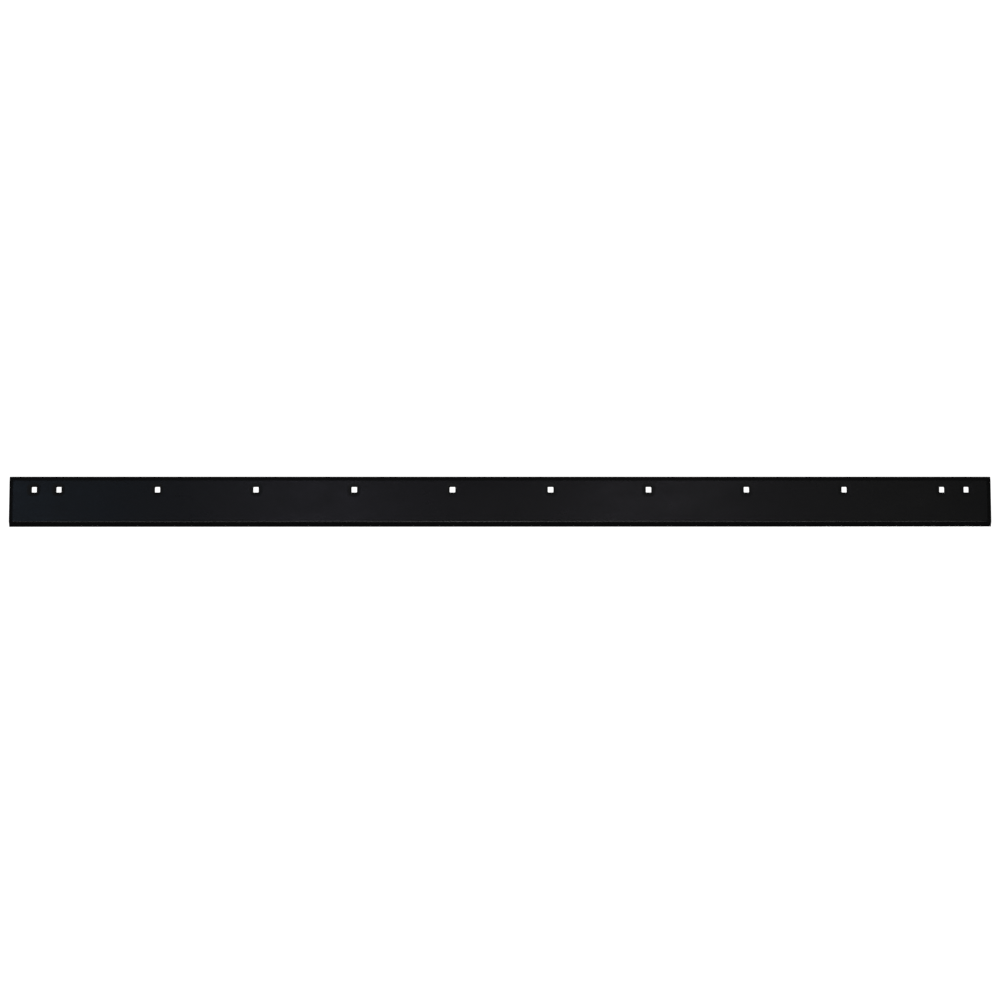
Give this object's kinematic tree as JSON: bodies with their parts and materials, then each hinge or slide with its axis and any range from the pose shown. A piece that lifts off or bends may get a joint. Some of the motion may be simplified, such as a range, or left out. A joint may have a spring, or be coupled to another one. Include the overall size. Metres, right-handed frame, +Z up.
{
  "type": "snow plow wear bar",
  "caption": "Flat steel wear bar for the lower edge of an ATV snow plow blade, with a row of square bolt holes near its top edge and a bevelled lower edge.",
  "frame": {"origin": "on the back face, halfway along the row of bolt holes and level with their centres", "axes": "+X along the bar, +Y out of the back face towards the blade that it bolts to, +Z up; the front face looks along -Y"},
  "size_m": [1.524, 0.0063, 0.0778],
  "materials": {
    "black_coat": "satin black powder coat over hot-rolled steel"
  },
  "bodies": {
    "root": {"wear_bar": "black_coat"}
  },
  "joints": []
}
